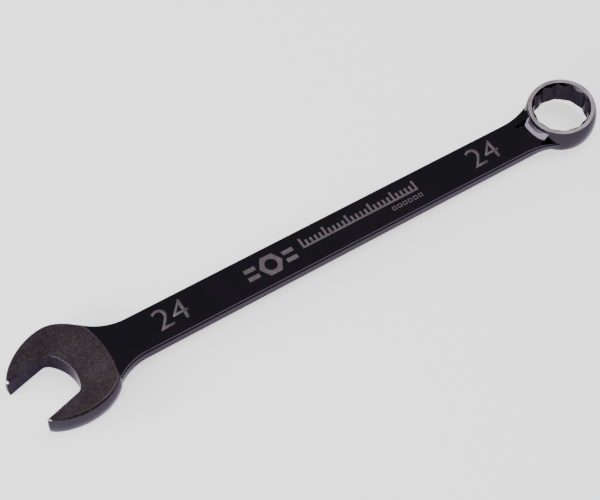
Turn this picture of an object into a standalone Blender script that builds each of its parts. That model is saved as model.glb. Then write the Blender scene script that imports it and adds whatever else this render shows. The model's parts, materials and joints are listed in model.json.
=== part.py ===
"""A 24 mm combination wrench: open jaw at one end, twelve-point ring at the other.

The tool is one drop forging. Four blanks (head, shank, ring and the ramp that braces the
ring) are merged into one solid, and the ring is then broached right through.

Frame: +X runs along the shank from the jaw to the ring, +Z is up, and the origin is
below the middle of the length, on the surface that the wrench lies on. Metres.
"""

import math

import bmesh
import bpy
from mathutils import Matrix, Vector

# Places along the shank
HEAD_X = -0.1308
RING_X = 0.1370
RAMP_X = 0.1185

# Open-end head
JAW_GAP = 0.0241
JAW_ANGLE = math.radians(195.0)
JAW_REACH = 0.0219
HEAD_THICKNESS = 0.0108
HEAD_RADIUS = 0.02335
HEAD_CENTRE_BACK = 0.001
NOSE_LENGTH_RIGHT = 0.0275
NOSE_LENGTH_LEFT = 0.0279
THROAT_DEPTH = 0.0018
THROAT_RADIUS = 0.019
THROAT_CORNER = 0.004
STEP_RADIUS = 0.048
STEP_X = 0.0196
STEP_Y = -0.0025
STEP_CORNER = 0.006
FLANK_RADIUS = 0.030
FLANK_X = -0.00656
FLANK_Y = -0.00469
FLANK_CORNER = 0.014
HEAD_EDGE = 0.0004

# Shank
SHANK_THICKNESS = 0.0054
SHANK_HALF_WIDTH_HEAD = 0.0101
SHANK_HALF_WIDTH_RING = 0.0099
SHANK_EDGE = 0.0010
SHOULDER_RADIUS = 0.0229
SHOULDER_OFFSET = 0.0008
SHOULDER_FILLET = 0.026
COLLAR_FILLET_TOP = 0.042
COLLAR_FILLET_BOTTOM = 0.020
SHANK_START = HEAD_X + 0.009
SHANK_END = RING_X - 0.0095

# Ring end
RING_THICKNESS = 0.01375
RING_TILT = math.radians(7.7)
LAND_RADIUS = 0.0161
BARREL_RADIUS = 0.01733
BARREL_POWER = 2.1
BORE_CORNER = 0.01386
BORE_RIDGE = 0.0127
BORE_CHAMFER = 0.0141
BORE_POINTS = 12
RAMP_HALF_WIDTH = 0.0087
RAMP_BELOW_LAND = 0.0021

# Fineness of the round stretches
NOSE_STEPS = 12
ARC_POINTS = 6
RING_SEGMENTS = 72
BARREL_STEPS = 8
BORE_STEPS = 4
RAMP_STEPS = 7
EDGE_STEPS = 3
CUT_PAST = 0.002
BURY = 0.0001

MID_Z = HEAD_THICKNESS / 2
# the lowest point of the tilted ring touches the surface that the head lies on
RING_Z = RING_THICKNESS / 2 * math.cos(RING_TILT) + LAND_RADIUS * math.sin(RING_TILT)


def clear_scene():
    for old in list(bpy.data.objects):
        bpy.data.objects.remove(old, do_unlink=True)


def make_material(name, colour, roughness, metallic):
    material = bpy.data.materials.new(name)
    material.use_nodes = True
    shader = material.node_tree.nodes["Principled BSDF"]
    shader.inputs["Base Color"].default_value = (*colour, 1.0)
    shader.inputs["Roughness"].default_value = roughness
    shader.inputs["Metallic"].default_value = metallic
    return material


def make_object(name, bm, material):
    """Turn a bmesh into an object, smooth where it is round and sharp at its corners."""
    bmesh.ops.recalc_face_normals(bm, faces=bm.faces)
    mesh = bpy.data.meshes.new(name)
    bm.to_mesh(mesh)
    bm.free()
    mesh.materials.append(material)
    mesh.shade_smooth()
    mesh.set_sharp_from_angle(angle=math.radians(30))
    obj = bpy.data.objects.new(name, mesh)
    bpy.context.scene.collection.objects.link(obj)
    return obj


def as_tool(obj):
    """A blank or cutter that only another object's modifier uses."""
    obj.hide_render = True
    obj.display_type = "WIRE"
    return obj


def add_boolean(obj, operation, tool):
    modifier = obj.modifiers.new(f"{operation.lower()}_{tool.name}", "BOOLEAN")
    modifier.operation = operation
    modifier.solver = "EXACT"
    modifier.object = tool


def arc(centre, radius, start, end, count):
    """Points on a circle from angle start the short way round to angle end."""
    sweep = (end - start + math.pi) % math.tau - math.pi
    angles = [start + sweep * i / (count - 1) for i in range(count)]
    return [centre + radius * Vector((math.cos(a), math.sin(a))) for a in angles]


def circles_meet(centre_a, radius_a, centre_b, radius_b, side):
    """The point on the given side (+1 left, -1 right of a to b) where two circles cross."""
    across = centre_b - centre_a
    distance = across.length
    along = (distance**2 + radius_a**2 - radius_b**2) / (2 * distance)
    off = math.sqrt(radius_a**2 - along**2)
    direction = across / distance
    return centre_a + along * direction + side * off * Vector((-direction.y, direction.x))


def heading(point, centre):
    return math.atan2(point.y - centre.y, point.x - centre.x)


def head_circles(side):
    """Circles round one side of the head, from its back to its step, and their corners."""
    to_jaw = Matrix.Rotation(-JAW_ANGLE, 2)
    back = (Vector((-HEAD_CENTRE_BACK, 0)), HEAD_RADIUS)
    step = (to_jaw @ Vector((STEP_X - STEP_RADIUS, STEP_Y)), STEP_RADIUS)
    if side > 0:
        return (back, step), (STEP_CORNER,)
    # the left side is flattened where it runs into the shank
    flank = (to_jaw @ Vector((FLANK_X, FLANK_Y)), FLANK_RADIUS)
    return (back, flank, step), (FLANK_CORNER, STEP_CORNER)


def outer_side(side):
    """Half of the head's outer outline, from the jaw tip to the end of the step's corner.

    Points are (u, v): u runs out of the jaw's mouth and v across it. side is +1 on the
    right jaw's side and -1 on the left jaw's.
    """
    circles, corners = head_circles(side)
    back = circles[0][0]
    nose = NOSE_LENGTH_RIGHT if side > 0 else NOSE_LENGTH_LEFT
    nose_start = math.acos((JAW_REACH + HEAD_CENTRE_BACK) / nose)
    points = []
    for i in range(NOSE_STEPS + 1):
        angle = nose_start + (math.pi / 2 - nose_start) * i / NOSE_STEPS
        across = side * HEAD_RADIUS * math.sin(angle)
        points.append(back + Vector((nose * math.cos(angle), across)))
    angle = side * math.pi / 2
    for (first, radius), (second, next_radius), corner in zip(circles, circles[1:], corners):
        middle = circles_meet(first, radius - corner, second, next_radius - corner, side)
        leave = heading(middle, first)
        reach = heading(middle, second)
        points += arc(first, radius, angle, leave, ARC_POINTS)[1:]
        points += arc(middle, corner, leave, reach, ARC_POINTS)[1:]
        angle = reach
    return points, angle, circles[-1][0]


def throat():
    """The jaw's inner outline, from the tip of the +v jaw to the tip of the -v jaw."""
    centre = Vector((THROAT_RADIUS - THROAT_DEPTH, 0))
    half = JAW_GAP / 2
    inner = THROAT_RADIUS - THROAT_CORNER
    corner_v = half - THROAT_CORNER
    corner_u = centre.x - math.sqrt(inner**2 - corner_v**2)
    upper = Vector((corner_u, corner_v))
    lower = Vector((corner_u, -corner_v))
    meet = heading(upper, centre)
    points = [Vector((JAW_REACH, half))]
    points += arc(upper, THROAT_CORNER, math.pi / 2, meet, ARC_POINTS)
    points += arc(centre, THROAT_RADIUS, meet, -meet, 2 * ARC_POINTS)[1:-1]
    points += arc(lower, THROAT_CORNER, -meet, -math.pi / 2, ARC_POINTS)
    points.append(Vector((JAW_REACH, -half)))
    return points


def head_outline():
    """The head's whole plan outline as (u, v) points in order round it."""
    plus, plus_angle, step = outer_side(1)
    minus, minus_angle, _ = outer_side(-1)
    points = throat() + minus
    points += arc(step, STEP_RADIUS, minus_angle, plus_angle, 2 * ARC_POINTS)[1:-1]
    points += reversed(plus)
    return points


def make_head(material):
    """The thick jaw head, with its mouth turned 15 degrees off the shank's line."""
    turn = Matrix.Rotation(JAW_ANGLE, 2)
    bm = bmesh.new()
    ring = []
    for point in head_outline():
        place = turn @ point
        ring.append(bm.verts.new((HEAD_X + place.x, place.y, 0)))
    face = bm.faces.new(ring)
    top = bmesh.ops.extrude_face_region(bm, geom=[face])
    lifted = [v for v in top["geom"] if isinstance(v, bmesh.types.BMVert)]
    bmesh.ops.translate(bm, verts=lifted, vec=(0, 0, HEAD_THICKNESS))
    head = make_object("wrench_forging", bm, material)
    bevel = head.modifiers.new("broken_edges", "BEVEL")
    bevel.width = HEAD_EDGE
    bevel.segments = 1
    bevel.limit_method = "ANGLE"
    bevel.angle_limit = math.radians(40)
    return head


def barrel_radius(height):
    """Outer radius of the ring at a height along its own axis, from its middle."""
    part = min(1.0, abs(height) / (RING_THICKNESS / 2))
    return LAND_RADIUS + (BARREL_RADIUS - LAND_RADIUS) * (1 - part**BARREL_POWER)


def fillet_half_width(distance, half_width, radius, fillet):
    """Half width at a distance from the centre of a round end that a fillet joins.

    Inside the fillet's touching point the outline is the round end's own circle.
    """
    centre = math.sqrt((radius + fillet) ** 2 - (half_width + fillet) ** 2)
    if distance >= centre:
        return half_width
    if distance >= centre * radius / (radius + fillet):
        return half_width + fillet - math.sqrt(fillet**2 - (centre - distance) ** 2)
    return math.sqrt(radius**2 - distance**2)


def half_width(x, z):
    """Half width of the shank and its flares at a place along it and a height."""
    share = (x - HEAD_X) / (RING_X - HEAD_X)
    plain = SHANK_HALF_WIDTH_HEAD + share * (SHANK_HALF_WIDTH_RING - SHANK_HALF_WIDTH_HEAD)
    if share < 0.5:
        distance = x - HEAD_X - SHOULDER_OFFSET
        return fillet_half_width(distance, plain, SHOULDER_RADIUS, SHOULDER_FILLET)
    end_radius = barrel_radius(z - RING_Z) - BURY
    # the collar sweeps out further along the shank's upper edges than along its lower ones
    rise = (z - MID_Z) / SHANK_THICKNESS + 0.5
    fillet = COLLAR_FILLET_BOTTOM + rise * (COLLAR_FILLET_TOP - COLLAR_FILLET_BOTTOM)
    return fillet_half_width(RING_X - x, plain, end_radius, fillet)


def shank_stations():
    """Places of the shank's sections: close together on the flares, one span between."""
    stations = [SHANK_START + 0.0022 * i for i in range(13)]
    stations += [SHANK_END - 0.0019 * i for i in reversed(range(13))]
    return stations


def shank_section():
    """Section outline as (side, z, inset): side is +1 or -1, inset rounds the corner."""
    corners = []
    for side, level, first in ((1, 1, 0.0), (-1, 1, 0.5), (-1, -1, 1.0), (1, -1, 1.5)):
        for i in range(EDGE_STEPS):
            angle = math.pi * (first + 0.5 * i / (EDGE_STEPS - 1))
            inset = SHANK_EDGE * (1 - side * math.cos(angle))
            z = MID_Z + level * (SHANK_THICKNESS / 2 - SHANK_EDGE) + SHANK_EDGE * math.sin(angle)
            corners.append((side, z, inset))
    return corners


def make_shank(material):
    """The flat shank with the flares that join it to the head and the ring."""
    bm = bmesh.new()
    previous = None
    section = shank_section()
    for x in shank_stations():
        loop = [bm.verts.new((x, side * (half_width(x, z) - inset), z)) for side, z, inset in section]
        if previous is None:
            bm.faces.new(loop)
        else:
            for i in range(len(loop)):
                j = (i + 1) % len(loop)
                bm.faces.new((previous[i], previous[j], loop[j], loop[i]))
        previous = loop
    bm.faces.new(previous)
    return as_tool(make_object("shank_blank", bm, material))


def turned_loops(bm, loops):
    """Closed skin through a stack of loops of the same number of points."""
    for lower, upper in zip(loops[:-1], loops[1:]):
        for i in range(len(lower)):
            j = (i + 1) % len(lower)
            bm.faces.new((lower[i], lower[j], upper[j], upper[i]))
    bm.faces.new(loops[0])
    bm.faces.new(loops[-1])


def place_in_ring(obj):
    """Stand an object that was made about its own Z axis on the tilted ring's axis."""
    obj.location = (RING_X, 0, RING_Z)
    obj.rotation_euler = (0, -RING_TILT, 0)


def make_ring(material):
    """The solid barrel of the ring end, before it is broached."""
    bm = bmesh.new()
    loops = []
    for i in range(BARREL_STEPS + 1):
        # stations crowd towards the two faces, where the barrel curves most
        height = -RING_THICKNESS / 2 * math.cos(math.pi * i / BARREL_STEPS)
        radius = barrel_radius(height)
        loop = []
        for k in range(RING_SEGMENTS):
            angle = math.tau * k / RING_SEGMENTS
            loop.append(bm.verts.new((radius * math.cos(angle), radius * math.sin(angle), height)))
        loops.append(loop)
    turned_loops(bm, loops)
    ring = make_object("ring_blank", bm, material)
    place_in_ring(ring)
    return as_tool(ring)


def ring_to_world(radius, side, height):
    """Place (x, z) of a point of the ring's shank side, at a side offset and a height."""
    reach = -math.sqrt(radius**2 - side**2)
    x = RING_X + reach * math.cos(RING_TILT) - height * math.sin(RING_TILT)
    z = RING_Z + reach * math.sin(RING_TILT) + height * math.cos(RING_TILT)
    return x, z


def make_ramp(material):
    """The steep ramp that rises from a straight line across the shank to the ring's land."""
    height = RING_THICKNESS / 2 - RAMP_BELOW_LAND
    radius = barrel_radius(height) - BURY
    top = MID_Z + SHANK_THICKNESS / 2
    bm = bmesh.new()
    previous = None
    for i in range(RAMP_STEPS + 1):
        y = RAMP_HALF_WIDTH * (2 * i / RAMP_STEPS - 1)
        end_x, end_z = ring_to_world(radius, y, height)
        # the foot of the ramp runs on a little way below the shank's surface
        slope = (end_x - RAMP_X) / (end_z - top)
        foot = (RAMP_X - slope * SHANK_EDGE, top - SHANK_EDGE)
        corners = (foot, (end_x, end_z), (RING_X, end_z), (RING_X, MID_Z), (foot[0], MID_Z))
        loop = [bm.verts.new((x, y, z)) for x, z in corners]
        if previous is None:
            bm.faces.new(loop)
        else:
            for a in range(len(loop)):
                b = (a + 1) % len(loop)
                bm.faces.new((previous[a], previous[b], loop[b], loop[a]))
        previous = loop
    bm.faces.new(previous)
    bmesh.ops.triangulate(bm, faces=bm.faces)
    return as_tool(make_object("ramp_blank", bm, material))


def bore_outline():
    """Twelve-point outline: (angle, radius) with a point on the shank's line."""
    outline = []
    count = BORE_POINTS * 2
    for k in range(count):
        first, last = (BORE_CORNER, BORE_RIDGE) if k % 2 == 0 else (BORE_RIDGE, BORE_CORNER)
        start = first * Vector((math.cos(math.tau * k / count), math.sin(math.tau * k / count)))
        turn = math.tau * (k + 1) / count
        end = last * Vector((math.cos(turn), math.sin(turn)))
        for i in range(BORE_STEPS):
            point = start.lerp(end, i / BORE_STEPS)
            outline.append((math.atan2(point.y, point.x), point.length))
    return outline


def make_bore_cutter(material):
    """Twelve-point broach whose ends open at 45 degrees, which chamfers both faces."""
    half = RING_THICKNESS / 2
    bm = bmesh.new()
    loops = [[], [], [], []]
    for angle, radius in bore_outline():
        depth = half - (BORE_CHAMFER - radius)
        wide = BORE_CHAMFER + CUT_PAST
        stack = ((wide, -half - CUT_PAST), (radius, -depth), (radius, depth), (wide, half + CUT_PAST))
        for loop, (reach, height) in zip(loops, stack):
            loop.append(bm.verts.new((reach * math.cos(angle), reach * math.sin(angle), height)))
    turned_loops(bm, loops)
    cutter = make_object("bore_cutter", bm, material)
    place_in_ring(cutter)
    return as_tool(cutter)


def main():
    clear_scene()
    steel = make_material("black_nickel_steel", (0.055, 0.053, 0.062), 0.22, 1.0)
    wrench = make_head(steel)
    add_boolean(wrench, "UNION", make_shank(steel))
    add_boolean(wrench, "UNION", make_ring(steel))
    add_boolean(wrench, "UNION", make_ramp(steel))
    add_boolean(wrench, "DIFFERENCE", make_bore_cutter(steel))


main()
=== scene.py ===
"""The looks of a 24 mm combination wrench: fine surface, finishes and laser marks.

The fine forging is placed by the wrench's own mounts. Four blanks (head, shank, ring and
the neck's ramp) are merged and the ring is broached. Each blank brings the finish that its
surface has on the real tool. Metres throughout. Left and right are as seen from the jaw,
so left is +Y.
"""

import json
import math

import bmesh
import bpy
from mathutils import Matrix, Vector


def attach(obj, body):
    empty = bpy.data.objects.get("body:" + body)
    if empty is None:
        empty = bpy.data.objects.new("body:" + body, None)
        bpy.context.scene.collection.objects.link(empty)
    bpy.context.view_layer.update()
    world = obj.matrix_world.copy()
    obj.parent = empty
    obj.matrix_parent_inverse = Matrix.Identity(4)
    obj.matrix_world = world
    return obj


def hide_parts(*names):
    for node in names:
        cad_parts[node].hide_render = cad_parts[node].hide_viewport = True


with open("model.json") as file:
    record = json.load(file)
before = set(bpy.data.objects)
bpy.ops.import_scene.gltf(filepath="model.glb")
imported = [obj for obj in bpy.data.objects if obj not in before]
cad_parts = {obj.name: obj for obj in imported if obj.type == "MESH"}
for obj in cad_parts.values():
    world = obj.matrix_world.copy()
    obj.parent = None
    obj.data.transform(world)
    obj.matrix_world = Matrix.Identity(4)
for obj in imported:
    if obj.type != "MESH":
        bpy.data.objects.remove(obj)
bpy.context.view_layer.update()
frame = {"record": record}

NODE = "wrench_forging"
MM = 0.001

# The wrench's mounts, which give the places of its parts
MOUNTS = {mount["name"]: mount for mount in frame["record"]["mounts"]}


def mount_place(name):
    return Vector(MOUNTS[name]["pos_m"])


def mount_axis(name):
    return Vector(MOUNTS[name]["axis"]).normalized()


# Open-end head. Its own plan has x out of the jaw's mouth and y across it, to the right
HEAD_THICKNESS = mount_place("head_top").z - mount_place("head_underside").z
MID_Z = HEAD_THICKNESS / 2
JAW_ACROSS = mount_axis("jaw_flat_left")
JAW_ALONG = Vector((0, 0, 1)).cross(-JAW_ACROSS)
JAW_GAP = (mount_place("jaw_flat_right") - mount_place("jaw_flat_left")).dot(JAW_ACROSS)
JAW_MOUNT_REACH = 13 * MM    # from the head's centre to the mounts on the jaw's flats
JAW_MIDDLE = (mount_place("jaw_flat_right") + mount_place("jaw_flat_left")) / 2
HEAD_X = (JAW_MIDDLE - JAW_ALONG * JAW_MOUNT_REACH).x
JAW_ANGLE = math.atan2(JAW_ALONG.y, JAW_ALONG.x)
JAW_REACH = 21.9 * MM    # from the head's centre to the jaw tips
HEAD_RADIUS = 23.35 * MM
HEAD_CENTRE_BACK = 1.0 * MM
NOSE_LENGTH_RIGHT = 27.5 * MM
NOSE_LENGTH_LEFT = 27.9 * MM
TIP_CORNER = 0.4 * MM
TIP_RIM = 0.5 * MM
TIP_RUN = 1.6 * MM
TIP_BACK = 0.5 * MM
TIP_DROP = 1.1 * MM
THROAT_DEPTH = 1.8 * MM
THROAT_RADIUS = 19 * MM
THROAT_CORNER = 4 * MM

# The step from the head down to the shank, and the flat flank on the head's left side
STEP_RADIUS = 48 * MM
STEP_X = 19.6 * MM
STEP_Y = -2.5 * MM
STEP_CORNER = 6 * MM
FLANK_RADIUS = 30 * MM
FLANK_X = -6.56 * MM
FLANK_Y = -4.69 * MM
FLANK_CORNER = 14 * MM

# Rounded rims and swollen outer walls of the head
OUTER_RIM = 1.6 * MM
WALL_SWELL = 0.5 * MM
SWELL_LEVEL = 0.8
RIM_RUN = 9 * MM
INNER_RIM = 0.3 * MM
SOFTEN_REACH = 4
RIM_STEPS = 6
WALL_STEPS = 8
SATIN_STEPS = 4    # how many of a rim's steps are satin, from the flat face down

# Shank
SHANK_THICKNESS = 5.4 * MM
SHANK_TOP = MID_Z + SHANK_THICKNESS / 2
SHANK_HALF_WIDTH_HEAD = 10.1 * MM
SHANK_HALF_WIDTH_RING = 9.9 * MM
SHANK_EDGE = 1.0 * MM
SHOULDER_RADIUS = 22.9 * MM
SHOULDER_OFFSET = 0.8 * MM
SHOULDER_FILLET = 26 * MM
COLLAR_FILLET_TOP = 42 * MM
COLLAR_FILLET_BOTTOM = 20 * MM
FLARE_LENGTH = 30 * MM
FLARE_STEPS = 75
HEAD_OVERLAP = 9 * MM    # the shank starts this far from the head's centre
RING_OVERLAP = 9.5 * MM    # and ends this far from the ring's

# Ring end
RING_AXIS = mount_axis("ring_top_land")
RING_TILT = math.atan2(-RING_AXIS.x, RING_AXIS.z)
RING_THICKNESS = (mount_place("ring_top_land") - mount_place("ring_bottom_land")).dot(RING_AXIS)
RING_MIDDLE = (mount_place("ring_top_land") + mount_place("ring_bottom_land")) / 2
RING_X = RING_MIDDLE.x
RING_Z = RING_MIDDLE.z
RING_PLACE = Matrix.Translation((RING_X, 0, RING_Z)) @ Matrix.Rotation(-RING_TILT, 4, "Y")
LAND_RADIUS = 16.1 * MM
LAND_EDGE = 0.25 * MM
WALL_STOP = 1.6 * LAND_EDGE    # the barrel's wall stops this far short of each land
BARREL_RADIUS = 17.33 * MM
BARREL_POWER = 2.1
RING_SEGMENTS = 192
BORE_CORNER = 13.86 * MM
BORE_RIDGE = 12.7 * MM
BORE_CHAMFER = 14.1 * MM
BORE_POINTS = 12

# The neck's ramp: where it bends up from the shank, and its two sides
RAMP_BEND = 118.0 * MM
RAMP_SKEW = 0.14
RAMP_EASED_SLOPE = math.radians(34)
RAMP_LEAD = 1.5 * MM
RAMP_RIGHT = -8.7 * MM
RAMP_LEFT = 8.7 * MM
RAMP_EASING = (3.8 * MM, 6.0 * MM)
RAMP_BELOW_LAND = 0.8 * MM

# How deep a blank's edge is sunk into the next blank
BURY = 0.1 * MM

# Edges sharper than this stay sharp
SHARP_ANGLE = math.radians(28)

# Marks on the shank's upper face
MARK_FLOOR = SHANK_TOP - 0.05 * MM
MARK_PROUD = 0.03 * MM
WELD_DISTANCE = 0.005 * MM
SIZE_MARK_JAW = (-87.0 * MM, -71.3 * MM, -4.0 * MM, 6.4 * MM)
SIZE_MARK_RING = (83.0 * MM, 99.0 * MM, -4.3 * MM, 6.25 * MM)
STROKE_OFFSET = -0.005    # thins the numerals' strokes, as a share of the text's size
EMBLEM_X = -28.2 * MM
EMBLEM_Y = 0.4 * MM
EMBLEM_HEIGHT = 10.35 * MM
EMBLEM_WIDTH = 25.7 * MM
NUT_HOLE_SHARE = 0.58
NUT_STEPS = 72
BAR_GAP = 1.2 * MM
BAR_OFFSET = 2.2 * MM
BAR_HALF_HEIGHT = 1.1 * MM
SCALE_START = -11.0 * MM
SCALE_END = 52.6 * MM
SCALE_FOOT = -0.06 * MM
SCALE_TOP = 5.6 * MM
SCALE_TICK = 1.15 * MM
SCALE_LINE = 1.0 * MM
SCALE_SPACES = 25
SHORT_TICK_DROP = 1.9 * MM
LONG_TICK_EVERY = 5
SQUARES = 6
SQUARE_SIDE = 2.1 * MM
SQUARE_LINE = 0.42 * MM
SQUARES_START = 35.8 * MM
SQUARES_END = 52.6 * MM
SQUARES_Y = -3.2 * MM

# Finishes, in the order of the forging's material slots
MIRROR, SATIN, LAND, BORE_AND_JAW_SHADE = range(4)

# Colours of the finishes at places along their patterns
SATIN_TINTS = (
    (0.05, (0.044, 0.028, 0.034)),
    (0.35, (0.053, 0.041, 0.047)),
    (0.65, (0.059, 0.050, 0.056)),
    (0.95, (0.084, 0.069, 0.082)),
)
LAND_TINTS = (
    (0.25, (0.15, 0.125, 0.135)),
    (0.5, (0.215, 0.20, 0.215)),
    (0.75, (0.27, 0.26, 0.28)),
)
# on the jaw's inner walls these dark tints are also painted shade
BORE_AND_JAW_SHADE_TINTS = ((0.3, (0.015, 0.013, 0.017)), (0.7, (0.030, 0.027, 0.034)))
FROST_TINTS = ((0.3, (0.086, 0.068, 0.077)), (0.7, (0.122, 0.099, 0.110)))

# Cycles of each pattern in a metre along its three axes
POLISH_HAZE = (70, 70, 70)
POLISH_WAVES = (260, 260, 260)
HAIRLINES = (45, 5200, 5200)
BLAST_GRAIN = (1500, 1500, 1500)
BLAST_SPOTS = (750, 750, 750)
BLAST_PATCHES = (300, 300, 300)
BLAST_CLOUDS = (85, 85, 85)
LAND_CLOUDS = (140, 140, 140)
BROACH_LINES = (1500, 1500, 55)
LASER_HATCH = (60, 6500, 60)
LASER_CLOUDS = (420, 420, 420)

# The same for a direction round the ring, in two parts, and the distance from its axis
GRINDING_CIRCLES = (2.5, 2.5, 5200)

# Heights of the finishes' bumps
POLISH_BUMP = 0.008 * MM
BLAST_BUMP = 0.03 * MM
GRINDING_BUMP = 0.004 * MM
BROACH_BUMP = 0.006 * MM
LASER_BUMP = 0.004 * MM

# Bare steel at the jaw tips, where the plating is worn; it is partly painted highlight, set
# where the tips glint so that they mirror the jaw-end panel as white glints
TIP_GLINTS = ((-155.0 * MM, 6.7 * MM, 10.4 * MM), (-148.2 * MM, -18.6 * MM, 10.4 * MM))
WORN_GLINT_REACH = 1.5 * MM
BARE_STEEL_GLINT = (0.75, 0.73, 0.76)

# Brightness of the surroundings, and the directions between which it changes.
# Behind is towards -Y.
WORLD_HORIZON = 1.3
WORLD_OVERHEAD = 0.41
WORLD_BEHIND = 0.12
WORLD_RISE = (0.15, 0.40)
WORLD_TURN = (-0.6, -0.1)
FLOOR_GLOW = 1.1
FLOOR_REACH = 4.0

# Light panels, as (place, direction they face, size, brightness)
OVERHEAD_PANEL = ((0.52, 0.05, 1.0), (0, 0, -1), (0.80, 0.74), 4.0)
JAW_END_PANEL = ((-0.9, 0.08, 0.26), (1, 0, 0), (1.16, 0.48), 12.0)

# Camera: place, and its turn about Z, its look down and its roll
CAMERA_PLACE = (-0.2302, -0.2918, 0.5524)
CAMERA_YAW = -0.63976
CAMERA_PITCH = 0.98147
CAMERA_ROLL = 0.07657
CAMERA_LENS = 87.375
CAMERA_SENSOR = 36.0
CAMERA_NEAR = 0.01


# ---------------------------------------------------------------- mesh helpers

def arc(centre, radius, start, end, count):
    """Points on a circle from angle start the short way round to angle end."""
    sweep = (end - start + math.pi) % math.tau - math.pi
    angles = [start + sweep * i / (count - 1) for i in range(count)]
    return [centre + radius * Vector((math.cos(a), math.sin(a))) for a in angles]


def circles_meet(centre_a, radius_a, centre_b, radius_b, side):
    """The point on the given side (+1 left, -1 right of a to b) where two circles cross."""
    across = centre_b - centre_a
    distance = across.length
    along = (distance**2 + radius_a**2 - radius_b**2) / (2 * distance)
    off = math.sqrt(radius_a**2 - along**2)
    direction = across / distance
    return centre_a + along * direction + side * off * Vector((-direction.y, direction.x))


def heading(point, centre):
    """Angle of the direction from a centre to a point."""
    return math.atan2(point.y - centre.y, point.x - centre.x)


def rounded_corner(before, corner, after, radius, count=5):
    """Arc that replaces the corner between two straight runs."""
    back = (before - corner).normalized()
    ahead = (after - corner).normalized()
    half = back.angle(ahead) / 2
    centre = corner + (back + ahead).normalized() * radius / math.sin(half)
    start = heading(corner + back * radius / math.tan(half), centre)
    end = heading(corner + ahead * radius / math.tan(half), centre)
    return arc(centre, radius, start, end, count)


def smooth_share(value, start, end):
    """0 before the start, 1 after the end, and an even change between them."""
    part = min(1.0, max(0.0, (value - start) / (end - start)))
    return part * part * (3 - 2 * part)


def skin_loops(bm, loops, finish_of=lambda level: MIRROR, caps=(MIRROR, MIRROR)):
    """Closed skin through a stack of loops that have the same number of points."""
    for level, (lower, upper) in enumerate(zip(loops[:-1], loops[1:])):
        for i in range(len(lower)):
            j = (i + 1) % len(lower)
            face = bm.faces.new((lower[i], lower[j], upper[j], upper[i]))
            face.material_index = finish_of(level)
    bm.faces.new(loops[0]).material_index = caps[0]
    bm.faces.new(loops[-1]).material_index = caps[1]


def link_mesh(name, bm, materials):
    bmesh.ops.recalc_face_normals(bm, faces=bm.faces)
    mesh = bpy.data.meshes.new(name)
    bm.to_mesh(mesh)
    bm.free()
    for material in materials:
        mesh.materials.append(material)
    obj = bpy.data.objects.new(name, mesh)
    bpy.context.scene.collection.objects.link(obj)
    return obj


def apply_modifiers(obj):
    """Keep what the modifiers make as the object's own mesh."""
    graph = bpy.context.evaluated_depsgraph_get()
    mesh = bpy.data.meshes.new_from_object(obj.evaluated_get(graph), depsgraph=graph)
    obj.modifiers.clear()
    obj.data = mesh


def merge(obj, operation, tool):
    """Union or difference of an object with another one, which is used up."""
    modifier = obj.modifiers.new(operation, "BOOLEAN")
    modifier.operation = operation
    modifier.solver = "EXACT"
    modifier.object = tool
    apply_modifiers(obj)
    bpy.data.objects.remove(tool, do_unlink=True)


# ---------------------------------------------------------------- head

def head_circles(side):
    """Circles round one side of the head, from its middle to its step, and their corners."""
    to_jaw = Matrix.Rotation(-JAW_ANGLE, 2)
    back = (Vector((-HEAD_CENTRE_BACK, 0)), HEAD_RADIUS)
    step = (to_jaw @ Vector((STEP_X - STEP_RADIUS, STEP_Y)), STEP_RADIUS)
    if side > 0:
        return (back, step), (STEP_CORNER,)
    # the left side is flattened where it runs into the shank
    flank = (to_jaw @ Vector((FLANK_X, FLANK_Y)), FLANK_RADIUS)
    return (back, flank, step), (FLANK_CORNER, STEP_CORNER)


def outer_side(side):
    """The right (+1) or left (-1) of the head's outline, from its tip to the step's corner."""
    circles, corners = head_circles(side)
    back = circles[0][0]
    nose = NOSE_LENGTH_RIGHT if side > 0 else NOSE_LENGTH_LEFT
    nose_start = math.acos((JAW_REACH + HEAD_CENTRE_BACK) / nose)
    steps = 36
    points = []
    for i in range(steps + 1):
        angle = nose_start + (math.pi / 2 - nose_start) * i / steps
        across = side * HEAD_RADIUS * math.sin(angle)
        points.append(back + Vector((nose * math.cos(angle), across)))
    # round the outer corner of the jaw's tip
    tip_inner = Vector((JAW_REACH, side * JAW_GAP / 2))
    points[0:2] = rounded_corner(tip_inner, points[0], points[3], TIP_CORNER)
    angle = side * math.pi / 2
    for (first, radius), (second, next_radius), corner in zip(circles, circles[1:], corners):
        middle = circles_meet(first, radius - corner, second, next_radius - corner, side)
        leave = heading(middle, first)
        reach = heading(middle, second)
        points += arc(first, radius, angle, leave, count=24)[1:]
        points += arc(middle, corner, leave, reach, count=16)[1:]
        angle = reach
    return points, angle, circles[-1][0]


def throat():
    """The jaw's inner outline, from the tip of the right jaw to the tip of the left jaw."""
    centre = Vector((THROAT_RADIUS - THROAT_DEPTH, 0))
    half = JAW_GAP / 2
    inner = THROAT_RADIUS - THROAT_CORNER
    corner_y = half - THROAT_CORNER
    corner_x = centre.x - math.sqrt(inner**2 - corner_y**2)
    right = Vector((corner_x, corner_y))
    left = Vector((corner_x, -corner_y))
    meet = heading(right, centre)
    outward = Vector((0, half))
    tip = Vector((JAW_REACH, half))
    points = rounded_corner(tip + outward, tip, Vector((0, half)), TIP_CORNER)
    points += arc(right, THROAT_CORNER, math.pi / 2, meet, count=12)
    points += arc(centre, THROAT_RADIUS, meet, -meet, count=40)[1:-1]
    points += arc(left, THROAT_CORNER, -meet, -math.pi / 2, count=12)
    tip = Vector((JAW_REACH, -half))
    points += rounded_corner(Vector((0, -half)), tip, tip - outward, TIP_CORNER)
    return points


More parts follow.
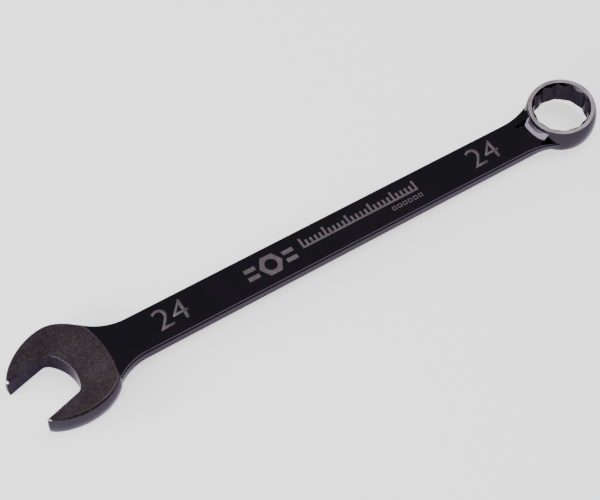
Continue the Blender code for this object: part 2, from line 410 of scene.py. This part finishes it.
def head_outline():
    """Plan outline of the head, as points and how much rim each one has."""
    right, right_angle, step = outer_side(1)
    left, left_angle, _ = outer_side(-1)
    inner = throat()
    outer = left + arc(step, STEP_RADIUS, left_angle, right_angle, count=40)[1:-1]
    outer += reversed(right)
    rims = [INNER_RIM] * len(inner)
    for point in outer:
        # the rim narrows with the jaws
        share = min(1.0, max(0.0, (JAW_REACH - point.x) / RIM_RUN))
        rims.append(TIP_RIM + share * (OUTER_RIM - TIP_RIM))
    return inner + outer, rims


def soften(values, width):
    """Running mean round a closed list, so that its values change gently at the jaw tips."""
    count = len(values)
    reach = range(-width, width + 1)
    return [sum(values[(i + k) % count] for k in reach) / len(reach) for i in range(count)]


def inward_steps(points):
    """For each point of a closed outline, the move that takes both its sides in by one."""
    count = len(points)
    area = sum(points[i - 1].cross(points[i]) for i in range(count))
    turn = 1 if area > 0 else -1
    moves = []
    for i in range(count):
        before = (points[i] - points[i - 1]).normalized()
        after = (points[(i + 1) % count] - points[i]).normalized()
        first = turn * Vector((-before.y, before.x))
        second = turn * Vector((-after.y, after.x))
        moves.append((first + second) / (1 + first.dot(second)))
    return moves


def tip_share(reach):
    """How much of the jaw tips' heavier rounding applies at a distance out along the jaw."""
    return smooth_share(reach, JAW_REACH - TIP_RUN, JAW_REACH)


def make_head(materials):
    """The thick jaw head: rounded rims, and outer walls that swell towards mid height."""
    outline, rims = head_outline()
    inner_count = rims.count(INNER_RIM)
    outer_count = len(rims) - inner_count
    swells = soften([0.0] * inner_count + [WALL_SWELL] * outer_count, SOFTEN_REACH)
    rims = soften(rims, SOFTEN_REACH)
    moves = inward_steps(outline)
    tips = [tip_share(point.x) for point in outline]
    turn = Matrix.Rotation(JAW_ANGLE, 2)
    # each level is an angle round a rim and a height, -1 at the lower rim and 1 at the upper
    levels = [(math.pi / 2 * i / RIM_STEPS, -1) for i in range(RIM_STEPS, 0, -1)]
    levels += [(0, 2 * i / WALL_STEPS - 1) for i in range(WALL_STEPS + 1)]
    levels += [(math.pi / 2 * i / RIM_STEPS, 1) for i in range(1, RIM_STEPS + 1)]
    bm = bmesh.new()
    loops = []
    for angle, height in levels:
        loop = []
        for point, move, rim, tip, swell in zip(outline, moves, rims, tips, swells):
            inward = move * rim + Vector((-TIP_BACK * tip, 0))
            rounding = inward * (1 - math.cos(angle))
            swelling = move * swell * (height**2 - SWELL_LEVEL)
            place = turn @ (point + rounding + swelling)
            drop = rim + (TIP_DROP - rim) * tip
            z = MID_Z + height * (MID_Z - drop * (1 - math.sin(angle)))
            loop.append(bm.verts.new((HEAD_X + place.x, place.y, z)))
        loops.append(loop)
    last = len(loops) - 2

    def finish_of(level):
        return SATIN if min(level, last - level) < SATIN_STEPS else MIRROR

    skin_loops(bm, loops, finish_of, (SATIN, SATIN))
    # the jaw's inner walls are broached, as the hole is; their dark finish is also painted
    # shade, for the shadowed floor in the jaw's gap that they would mirror
    inner = {vert for loop in loops for vert in loop[:inner_count]}
    for face in bm.faces:
        if face.material_index == MIRROR and inner.issuperset(face.verts):
            face.material_index = BORE_AND_JAW_SHADE
    return link_mesh("forging", bm, materials)


# ---------------------------------------------------------------- shank

def barrel_radius(height):
    """Outer radius of the ring at a height along its own axis, from its middle."""
    part = min(1.0, abs(height) / (RING_THICKNESS / 2))
    return LAND_RADIUS + (BARREL_RADIUS - LAND_RADIUS) * (1 - part**BARREL_POWER)


def fillet_half_width(distance, plain, radius, fillet):
    """Half width at a distance from the centre of a round end that a fillet joins."""
    centre = math.sqrt((radius + fillet) ** 2 - (plain + fillet) ** 2)
    if distance >= centre:
        return plain
    if distance >= centre * radius / (radius + fillet):
        return plain + fillet - math.sqrt(fillet**2 - (centre - distance) ** 2)
    return math.sqrt(radius**2 - distance**2)


def half_width(x, z):
    """Half width of the shank and its flares at a place along it and a height."""
    share = (x - HEAD_X) / (RING_X - HEAD_X)
    plain = SHANK_HALF_WIDTH_HEAD + share * (SHANK_HALF_WIDTH_RING - SHANK_HALF_WIDTH_HEAD)
    if share < 0.5:
        # nearer the head than the ring
        distance = x - HEAD_X - SHOULDER_OFFSET
        return fillet_half_width(distance, plain, SHOULDER_RADIUS, SHOULDER_FILLET)
    end_radius = barrel_radius(z - RING_Z) - BURY
    # the collar sweeps out further along the shank's upper edges than along its lower ones
    rise = (z - MID_Z) / SHANK_THICKNESS + 0.5
    fillet = COLLAR_FILLET_BOTTOM + rise * (COLLAR_FILLET_TOP - COLLAR_FILLET_BOTTOM)
    return fillet_half_width(RING_X - x, plain, end_radius, fillet)


def shank_section():
    """Section outline as (side, z, inset): side is +1 or -1, inset rounds the corner."""
    steps = 7
    corners = []
    for side, level, first in ((1, 1, 0.0), (-1, 1, 0.5), (-1, -1, 1.0), (1, -1, 1.5)):
        for i in range(steps):
            angle = math.pi * (first + 0.5 * i / (steps - 1))
            inset = SHANK_EDGE * (1 - side * math.cos(angle))
            z = MID_Z + level * (SHANK_THICKNESS / 2 - SHANK_EDGE) + SHANK_EDGE * math.sin(angle)
            corners.append((side, z, inset))
    return corners


def make_shank(materials):
    """The flat shank with the flares that join it to the head and the ring."""
    start = HEAD_X + HEAD_OVERLAP
    end = RING_X - RING_OVERLAP
    stations = [start + FLARE_LENGTH * i / FLARE_STEPS for i in range(FLARE_STEPS + 1)]
    stations += [end - FLARE_LENGTH * i / FLARE_STEPS for i in range(FLARE_STEPS, -1, -1)]
    section = shank_section()
    bm = bmesh.new()
    loops = []
    for x in stations:
        places = [(x, side * (half_width(x, z) - inset), z) for side, z, inset in section]
        loops.append([bm.verts.new(place) for place in places])
    skin_loops(bm, loops)
    return link_mesh("shank", bm, materials)


# ---------------------------------------------------------------- ring

def turned(name, stack, segments, materials, caps):
    """Solid of revolution about the ring's axis from a stack of (radius, height)."""
    bm = bmesh.new()
    loops = []
    for radius, height in stack:
        loop = []
        for k in range(segments):
            angle = math.tau * (k + 0.5) / segments
            flat = (radius * math.cos(angle), radius * math.sin(angle))
            loop.append(bm.verts.new(RING_PLACE @ Vector((*flat, height))))
        loops.append(loop)
    skin_loops(bm, loops, caps=caps)
    return link_mesh(name, bm, materials)


def make_ring(materials):
    """The solid barrel of the ring end, before it is broached."""
    half = RING_THICKNESS / 2
    wall_steps = 28
    edge_steps = 4
    wall = []
    for i in range(wall_steps + 1):
        height = -half * math.cos(math.pi * i / wall_steps)
        wall.append((barrel_radius(height), height))
    wall = [(r, h) for r, h in wall if abs(h) < half - WALL_STOP]
    edge = []
    for i in range(edge_steps + 1):
        angle = math.pi / 2 * i / edge_steps
        radius = LAND_RADIUS - LAND_EDGE * (1 - math.cos(angle))
        edge.append((radius, half - LAND_EDGE * (1 - math.sin(angle))))
    stack = [(r, -h) for r, h in reversed(edge)] + wall + edge
    return turned("ring", stack, RING_SEGMENTS, materials, (LAND, LAND))


def ring_to_world(radius, side, height):
    """Place (x, z) of a point of the ring's shank side, at a side offset and a height."""
    reach = -math.sqrt(radius**2 - side**2)
    place = RING_PLACE @ Vector((reach, side, height))
    return place.x, place.z


def make_ramp(materials):
    """The neck: a hollow sweep that rises from the shank's top to just under the land.

    It is steep along the middle and the right, where its foot runs askew towards the ring,
    and it eases on the left.
    """
    height = RING_THICKNESS / 2 - RAMP_BELOW_LAND
    radius = barrel_radius(height) - BURY
    across = 39
    along = 12
    bm = bmesh.new()
    loops = []
    for i in range(across + 1):
        y = RAMP_RIGHT + (RAMP_LEFT - RAMP_RIGHT) * i / across
        easing = smooth_share(y, *RAMP_EASING)
        end = Vector(ring_to_world(radius, y, height))
        # the sweep leaves the shank level, and arrives at the ring along the line from its bend
        eased = end.x - (end.y - SHANK_TOP) / math.tan(RAMP_EASED_SLOPE)
        steep = RAMP_BEND + RAMP_SKEW * max(0, -y)
        bend = Vector((steep + (eased - steep) * easing, SHANK_TOP))
        foot = Vector((bend.x - RAMP_LEAD, SHANK_TOP))
        corners = [(foot.x - BURY, SHANK_TOP - BURY)]
        for k in range(1, along + 1):
            t = k / along
            place = foot * (1 - t) ** 2 + bend * (2 * t * (1 - t)) + end * t**2
            corners.append((place.x, place.y))
        corners += [(RING_X, end.y), (RING_X, MID_Z), (foot.x - BURY, MID_Z)]
        loops.append([bm.verts.new((x, y, z)) for x, z in corners])
    skin_loops(bm, loops)
    # the hollow ends fill wrongly without their normals
    bm.normal_update()
    bmesh.ops.triangulate(bm, faces=bm.faces)
    return link_mesh("ramp", bm, materials)


def make_bore_cutter(materials):
    """Twelve-point broach whose ends open at 45 degrees, which chamfers both faces."""
    half = RING_THICKNESS / 2
    past = 2 * MM
    wide = BORE_CHAMFER + past
    steps = 6
    corners = []
    for k in range(2 * BORE_POINTS):
        reach = BORE_CORNER if k % 2 == 0 else BORE_RIDGE
        angle = math.tau * k / (2 * BORE_POINTS)
        corners.append(reach * Vector((math.cos(angle), math.sin(angle))))
    outline = []
    for k, corner in enumerate(corners):
        following = corners[(k + 1) % len(corners)]
        outline += [corner.lerp(following, i / steps) for i in range(steps)]
    bm = bmesh.new()
    loops = [[], [], [], []]
    for point in outline:
        radius = point.length
        depth = half - (BORE_CHAMFER - radius)
        stack = ((wide, -half - past), (radius, -depth), (radius, depth), (wide, half + past))
        for loop, (reach, height) in zip(loops, stack):
            flat = point / radius * reach
            loop.append(bm.verts.new(RING_PLACE @ Vector((flat.x, flat.y, height))))
    skin_loops(bm, loops, lambda level: BORE_AND_JAW_SHADE, (BORE_AND_JAW_SHADE, BORE_AND_JAW_SHADE))
    return link_mesh("bore", bm, materials)


def make_forging(materials):
    """The whole forging as one closed skin, with crisp edges and flat faces."""
    wrench = make_head(materials)
    merge(wrench, "UNION", make_shank(materials))
    merge(wrench, "UNION", make_ring(materials))
    merge(wrench, "UNION", make_ramp(materials))
    merge(wrench, "DIFFERENCE", make_bore_cutter(materials))
    wrench.data.shade_smooth()
    wrench.data.set_sharp_from_angle(angle=SHARP_ANGLE)
    weighted = wrench.modifiers.new("flats_stay_flat", "WEIGHTED_NORMAL")
    weighted.keep_sharp = True
    weighted.weight = 100
    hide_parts(NODE)
    return wrench


# ---------------------------------------------------------------- marks

def add_plate(bm, outline):
    """Flat face inside an outline of (x, y) points, to be thickened with the others."""
    bm.faces.new([bm.verts.new((x, y, MARK_FLOOR)) for x, y in outline])


def add_frame(bm, outer, inner):
    """Flat band between two outlines that have the same number of points."""
    outer_loop = [bm.verts.new((x, y, MARK_FLOOR)) for x, y in outer]
    inner_loop = [bm.verts.new((x, y, MARK_FLOOR)) for x, y in inner]
    for i in range(len(outer_loop)):
        j = (i + 1) % len(outer_loop)
        bm.faces.new((outer_loop[i], outer_loop[j], inner_loop[j], inner_loop[i]))


def rectangle(x0, x1, y0, y1):
    return [(x0, y0), (x1, y0), (x1, y1), (x0, y1)]


def finish_mark(name, bm, material):
    """Thicken the flat faces into a closed skin that stands just proud of the shank."""
    bmesh.ops.remove_doubles(bm, verts=bm.verts, dist=WELD_DISTANCE)
    lifted = bmesh.ops.extrude_face_region(bm, geom=list(bm.faces))
    verts = [v for v in lifted["geom"] if isinstance(v, bmesh.types.BMVert)]
    bmesh.ops.translate(bm, verts=verts, vec=(0, 0, SHANK_TOP + MARK_PROUD - MARK_FLOOR))
    mark = link_mesh(name, bm, [material])
    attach(mark, "root")


def make_size_mark(name, box, material):
    """The nominal size as plain numerals that fill a box (x0, x1, y0, y1) on the shank."""
    x0, x1, y0, y1 = box
    curve = bpy.data.curves.new(name, "FONT")
    curve.body = "24"
    curve.offset = STROKE_OFFSET
    writing = bpy.data.objects.new(name, curve)
    bpy.context.scene.collection.objects.link(writing)
    graph = bpy.context.evaluated_depsgraph_get()
    mesh = bpy.data.meshes.new_from_object(writing.evaluated_get(graph))
    bpy.data.objects.remove(writing, do_unlink=True)
    low = Vector([min(v.co[axis] for v in mesh.vertices) for axis in range(2)])
    high = Vector([max(v.co[axis] for v in mesh.vertices) for axis in range(2)])
    bm = bmesh.new()
    bm.from_mesh(mesh)
    for vert in bm.verts:
        vert.co.x = x0 + (vert.co.x - low.x) / (high.x - low.x) * (x1 - x0)
        vert.co.y = y0 + (vert.co.y - low.y) / (high.y - low.y) * (y1 - y0)
        vert.co.z = MARK_FLOOR
    finish_mark(name, bm, material)


def make_nut_emblem(material):
    """A hexagon nut seen from above, with two short bars on each side of it."""
    centre = Vector((EMBLEM_X, EMBLEM_Y))
    apothem = EMBLEM_HEIGHT / 2
    hole = NUT_HOLE_SHARE * apothem
    outer = []
    inner = []
    for k in range(NUT_STEPS):
        angle = math.tau * k / NUT_STEPS
        # angle from the middle of the nearest flat; two flats face across the shank
        off_flat = (angle + math.pi / 6) % (math.pi / 3) - math.pi / 6
        turn = angle + math.pi / 2
        heading_out = Vector((math.cos(turn), math.sin(turn)))
        outer.append(centre + heading_out * apothem / math.cos(off_flat))
        inner.append(centre + heading_out * hole)
    bm = bmesh.new()
    add_frame(bm, outer, inner)
    for side in (-1, 1):
        near = EMBLEM_X + side * (apothem / math.cos(math.pi / 6) + BAR_GAP)
        far = EMBLEM_X + side * EMBLEM_WIDTH / 2
        for y in (EMBLEM_Y - BAR_OFFSET, EMBLEM_Y + BAR_OFFSET):
            bottom = y - BAR_HALF_HEIGHT
            top = y + BAR_HALF_HEIGHT
            add_plate(bm, rectangle(min(near, far), max(near, far), bottom, top))
    finish_mark("nut_emblem", bm, material)


def make_scale_mark(material):
    """A plain graduated scale: a base line with ticks, every fifth of them long."""
    pitch = (SCALE_END - SCALE_START - SCALE_TICK) / SCALE_SPACES
    base = SCALE_FOOT + SCALE_LINE
    outline = [(SCALE_END, SCALE_FOOT), (SCALE_START, SCALE_FOOT)]
    for k in range(SCALE_SPACES + 1):
        x = SCALE_START + pitch * k
        top = SCALE_TOP if k % LONG_TICK_EVERY == 0 else SCALE_TOP - SHORT_TICK_DROP
        outline += [(x, top), (x + SCALE_TICK, top)]
        if k < SCALE_SPACES:
            outline += [(x + SCALE_TICK, base), (x + pitch, base)]
    bm = bmesh.new()
    add_plate(bm, outline)
    finish_mark("scale_mark", bm, material)


def make_square_row(material):
    """A short row of small open squares below the scale."""
    bm = bmesh.new()
    step = (SQUARES_END - SQUARES_START - SQUARE_SIDE) / (SQUARES - 1)
    for k in range(SQUARES):
        left = SQUARES_START + step * k
        right = left + SQUARE_SIDE
        bottom = SQUARES_Y - SQUARE_SIDE / 2
        top = bottom + SQUARE_SIDE
        outer = rectangle(left, right, bottom, top)
        inner = rectangle(
            left + SQUARE_LINE, right - SQUARE_LINE, bottom + SQUARE_LINE, top - SQUARE_LINE
        )
        add_frame(bm, outer, inner)
    finish_mark("square_row", bm, material)


def make_marks():
    frost = laser_frost()
    make_size_mark("size_mark_jaw", SIZE_MARK_JAW, frost)
    make_size_mark("size_mark_ring", SIZE_MARK_RING, frost)
    make_nut_emblem(frost)
    make_scale_mark(frost)
    make_square_row(frost)


# ---------------------------------------------------------------- materials

def new_material(name, colour, roughness, metallic=1.0, edge=(1.0, 1.0, 1.0)):
    """Material whose patterns vary about a plain colour and roughness.

    The edge is how strongly a metal mirrors at a grazing angle.
    """
    material = bpy.data.materials.new(name)
    material.use_nodes = True
    shader = material.node_tree.nodes["Principled BSDF"]
    shader.inputs["Base Color"].default_value = (*colour, 1.0)
    shader.inputs["Roughness"].default_value = roughness
    shader.inputs["Metallic"].default_value = metallic
    shader.inputs["Specular Tint"].default_value = (*edge, 1.0)
    return material, material.node_tree, shader


def own_place(tree):
    """Place on the wrench, in metres."""
    return tree.nodes.new("ShaderNodeTexCoord").outputs["Object"]


def ring_place(tree):
    """Place in the ring's own frame, whose Z axis is the axis of the hole."""
    mapping = tree.nodes.new("ShaderNodeMapping")
    mapping.vector_type = "TEXTURE"
    mapping.inputs["Location"].default_value = (RING_X, 0, RING_Z)
    mapping.inputs["Rotation"].default_value = (0, -RING_TILT, 0)
    tree.links.new(own_place(tree), mapping.inputs["Vector"])
    return mapping.outputs["Vector"]


def turned_place(tree):
    """Place as (direction round the ring, distance from its axis), for turned surfaces."""
    flatten = tree.nodes.new("ShaderNodeVectorMath")
    flatten.operation = "MULTIPLY"
    flatten.inputs[1].default_value = (1, 1, 0)
    tree.links.new(ring_place(tree), flatten.inputs[0])
    length = tree.nodes.new("ShaderNodeVectorMath")
    length.operation = "LENGTH"
    tree.links.new(flatten.outputs["Vector"], length.inputs[0])
    direction = tree.nodes.new("ShaderNodeVectorMath")
    direction.operation = "NORMALIZE"
    tree.links.new(flatten.outputs["Vector"], direction.inputs[0])
    parts = tree.nodes.new("ShaderNodeSeparateXYZ")
    tree.links.new(direction.outputs["Vector"], parts.inputs["Vector"])
    joined = tree.nodes.new("ShaderNodeCombineXYZ")
    tree.links.new(parts.outputs["X"], joined.inputs["X"])
    tree.links.new(parts.outputs["Y"], joined.inputs["Y"])
    tree.links.new(length.outputs["Value"], joined.inputs["Z"])
    return joined.outputs["Vector"]


def noise(tree, place, cycles, detail=2.0):
    """Noise with a number of cycles for each unit of place along its three axes."""
    mapping = tree.nodes.new("ShaderNodeMapping")
    mapping.inputs["Scale"].default_value = cycles
    texture = tree.nodes.new("ShaderNodeTexNoise")
    texture.inputs["Scale"].default_value = 1.0
    texture.inputs["Detail"].default_value = detail
    tree.links.new(place, mapping.inputs["Vector"])
    tree.links.new(mapping.outputs["Vector"], texture.inputs["Vector"])
    return texture.outputs["Fac"]


def spread(tree, pattern, low, high, start=0.3, end=0.7):
    """Map a pattern's run from start to end onto values from low to high."""
    node = tree.nodes.new("ShaderNodeMapRange")
    node.inputs["From Min"].default_value = start
    node.inputs["From Max"].default_value = end
    node.inputs["To Min"].default_value = low
    node.inputs["To Max"].default_value = high
    tree.links.new(pattern, node.inputs["Value"])
    return node.outputs["Result"]


def together(tree, operation, first, second):
    node = tree.nodes.new("ShaderNodeMath")
    node.operation = operation
    tree.links.new(first, node.inputs[0])
    tree.links.new(second, node.inputs[1])
    return node.outputs["Value"]


def tints(tree, pattern, stops):
    """Colours along a pattern, as (position, colour) stops."""
    ramp = tree.nodes.new("ShaderNodeValToRGB")
    elements = ramp.color_ramp.elements
    while len(elements) < len(stops):
        elements.new(0.5)
    for element, (position, colour) in zip(elements, stops):
        element.position = position
        element.color = (*colour, 1.0)
    tree.links.new(pattern, ramp.inputs["Fac"])
    return ramp.outputs["Color"]


def roughen(tree, shader, pattern, height):
    """Bump the surface by a pattern of a given height in metres."""
    bump = tree.nodes.new("ShaderNodeBump")
    bump.inputs["Distance"].default_value = height
    tree.links.new(pattern, bump.inputs["Height"])
    tree.links.new(bump.outputs["Normal"], shader.inputs["Normal"])


def worn_glint_patch(tree, place, centre, grain):
    """1 where the plating is worn off close round a point, with a ragged border; its bright bare
    steel is also a painted highlight where the tips glint.
    """
    distance = tree.nodes.new("ShaderNodeVectorMath")
    distance.operation = "DISTANCE"
    distance.inputs[1].default_value = centre
    tree.links.new(place, distance.inputs[0])
    near = spread(tree, distance.outputs["Value"], 1.0, 0.0, 0.0, WORN_GLINT_REACH)
    ragged = together(tree, "ADD", near, spread(tree, grain, -0.25, 0.25))
    return spread(tree, ragged, 0.0, 1.0, 0.35, 0.55)


def mirror_steel():
    """Polished black nickel: nearly flawless, with faint waves and handling hairlines."""
    material, tree, shader = new_material(
        "black_nickel_mirror", (0.033, 0.029, 0.039), 0.08, edge=(0.72, 0.68, 0.74)
    )
    place = own_place(tree)
    haze = spread(tree, noise(tree, place, POLISH_HAZE, 3), 0.05, 0.10)
    hairlines = spread(tree, noise(tree, place, HAIRLINES, 1), 0.0, 0.07, 0.62, 0.74)
    tree.links.new(together(tree, "ADD", haze, hairlines), shader.inputs["Roughness"])
    roughen(tree, shader, noise(tree, place, POLISH_WAVES, 2), POLISH_BUMP)
    return material


def satin_steel():
    """Blasted black nickel: mottled brown-grey with violet and red tinges, and worn jaw tips
    whose bare steel is also a painted glint.
    """
    material, tree, shader = new_material(
        "black_nickel_satin", (0.045, 0.036, 0.042), 0.42, edge=(0.75, 0.68, 0.73)
    )
    place = own_place(tree)
    grain = noise(tree, place, BLAST_GRAIN, 3)
    clouds = spread(tree, noise(tree, place, BLAST_CLOUDS, 3), 0.22, 0.78, 0.32, 0.68)
    speckle = spread(tree, grain, -0.30, 0.30)
    spots = spread(tree, noise(tree, place, BLAST_SPOTS, 3), -0.34, 0.34)
    blotches = together(tree, "ADD", clouds, spots)
    mottle = tints(tree, together(tree, "ADD", blotches, speckle), SATIN_TINTS)
    # partly painted highlight: bright bare steel at the jaw tips, where they glint
    worn_glint_tips = [worn_glint_patch(tree, place, tip, grain) for tip in TIP_GLINTS]
    worn_glint = together(tree, "MAXIMUM", *worn_glint_tips)
    bare_glint = tree.nodes.new("ShaderNodeMix")
    bare_glint.data_type = "RGBA"
    bare_glint.inputs["B"].default_value = (*BARE_STEEL_GLINT, 1.0)
    tree.links.new(worn_glint, bare_glint.inputs["Factor"])
    tree.links.new(mottle, bare_glint.inputs["A"])
    tree.links.new(bare_glint.outputs["Result"], shader.inputs["Base Color"])
    patches = spread(tree, noise(tree, place, BLAST_PATCHES, 3), 0.36, 0.46)
    roughness = together(tree, "ADD", patches, spread(tree, grain, -0.06, 0.06))
    tree.links.new(roughness, shader.inputs["Roughness"])
    roughen(tree, shader, grain, BLAST_BUMP)
    return material


def land_steel():
    """Bright ground ring face, with the fine circles that facing it leaves."""
    material, tree, shader = new_material("bright_ground_land", (0.25, 0.24, 0.25), 0.3)
    circles = noise(tree, turned_place(tree), GRINDING_CIRCLES, 3)
    clouds = noise(tree, own_place(tree), LAND_CLOUDS, 4)
    pattern = together(tree, "ADD", spread(tree, circles, -0.16, 0.16), clouds)
    shade = tints(tree, pattern, LAND_TINTS)
    tree.links.new(shade, shader.inputs["Base Color"])
    tree.links.new(spread(tree, circles, 0.26, 0.38), shader.inputs["Roughness"])
    roughen(tree, shader, circles, GRINDING_BUMP)
    return material


def bore_and_jaw_shade_steel():
    """Broached walls of the hole and the jaw: dark, with drag lines from face to face. On the
    jaw's walls the dark colour is also painted shade, for the shadowed floor they would mirror.
    """
    material, tree, shader = new_material(
        "broached_bore_and_jaw_shade", (0.024, 0.022, 0.027), 0.22, edge=(0.54, 0.51, 0.56)
    )
    drag = noise(tree, ring_place(tree), BROACH_LINES, 3)
    shade = tints(tree, drag, BORE_AND_JAW_SHADE_TINTS)
    tree.links.new(shade, shader.inputs["Base Color"])
    tree.links.new(spread(tree, drag, 0.16, 0.32), shader.inputs["Roughness"])
    roughen(tree, shader, drag, BROACH_BUMP)
    return material


def laser_frost():
    """Laser-etched marks: pale and matt, with the fine hatch of the laser's passes."""
    material, tree, shader = new_material("laser_frost", (0.3, 0.28, 0.3), 0.6, metallic=0.4)
    place = own_place(tree)
    hatch = noise(tree, place, LASER_HATCH, 1)
    cloud = noise(tree, place, LASER_CLOUDS, 3)
    pattern = together(tree, "ADD", spread(tree, hatch, -0.12, 0.12), cloud)
    shade = tints(tree, pattern, FROST_TINTS)
    tree.links.new(shade, shader.inputs["Base Color"])
    tree.links.new(spread(tree, hatch, 0.52, 0.66), shader.inputs["Roughness"])
    roughen(tree, shader, hatch, LASER_BUMP)
    return material


# ---------------------------------------------------------------- stage

def make_floor():
    """Pale floor that glows a little, so that it stays bright under the wrench."""
    bm = bmesh.new()
    bmesh.ops.create_grid(bm, x_segments=1, y_segments=1, size=FLOOR_REACH)
    floor = link_mesh("floor", bm, [])
    material, _, shader = new_material("pale_floor", (0.86, 0.86, 0.87), 0.9, metallic=0.0)
    shader.inputs["Emission Color"].default_value = (1.0, 1.0, 1.0, 1.0)
    shader.inputs["Emission Strength"].default_value = FLOOR_GLOW
    floor.data.materials.append(material)


def make_world():
    """Pale near the horizon, except towards -Y, and dim overhead."""
    world = bpy.data.worlds.new("soft_studio")
    bpy.context.scene.world = world
    world.use_nodes = True
    tree = world.node_tree
    background = tree.nodes["Background"]
    background.inputs["Color"].default_value = (0.97, 0.97, 1.0, 1.0)
    parts = tree.nodes.new("ShaderNodeSeparateXYZ")
    coordinates = tree.nodes.new("ShaderNodeTexCoord")
    tree.links.new(coordinates.outputs["Generated"], parts.inputs["Vector"])
    height = spread(tree, parts.outputs["Z"], WORLD_HORIZON, WORLD_OVERHEAD, *WORLD_RISE)
    front = spread(tree, parts.outputs["Y"], WORLD_BEHIND, 1.0, *WORLD_TURN)
    glow = together(tree, "MULTIPLY", height, front)
    tree.links.new(glow, background.inputs["Strength"])


def add_panel(name, place, facing, size, brightness):
    """Soft rectangular light that faces along a direction."""
    data = bpy.data.lights.new(name, "AREA")
    data.shape = "RECTANGLE"
    data.size, data.size_y = size
    data.energy = brightness * math.pi * size[0] * size[1]
    light = bpy.data.objects.new(name, data)
    bpy.context.scene.collection.objects.link(light)
    light.location = place
    light.rotation_euler = Vector(facing).to_track_quat("-Z", "Y").to_euler()
    light.visible_camera = False


def add_lights():
    """One broad panel overhead, and one low beyond the jaw that the neck and the tips mirror."""
    add_panel("overhead_panel", *OVERHEAD_PANEL)
    add_panel("jaw_end_panel", *JAW_END_PANEL)


def add_camera():
    data = bpy.data.cameras.new("camera")
    data.sensor_width = CAMERA_SENSOR
    data.lens = CAMERA_LENS
    data.clip_start = CAMERA_NEAR
    camera = bpy.data.objects.new("camera", data)
    bpy.context.scene.collection.objects.link(camera)
    turn = Matrix.Rotation(CAMERA_YAW, 4, "Z")
    look = Matrix.Rotation(math.pi / 2 - CAMERA_PITCH, 4, "X")
    roll = Matrix.Rotation(CAMERA_ROLL, 4, "Z")
    camera.matrix_world = Matrix.Translation(CAMERA_PLACE) @ turn @ look @ roll
    bpy.context.scene.camera = camera


def main():
    materials = [mirror_steel(), satin_steel(), land_steel(), bore_and_jaw_shade_steel()]
    wrench = make_forging(materials)
    wrench.name = "wrench_forging_finish"
    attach(wrench, "root")
    make_marks()
    make_floor()
    make_world()
    add_lights()
    add_camera()


main()
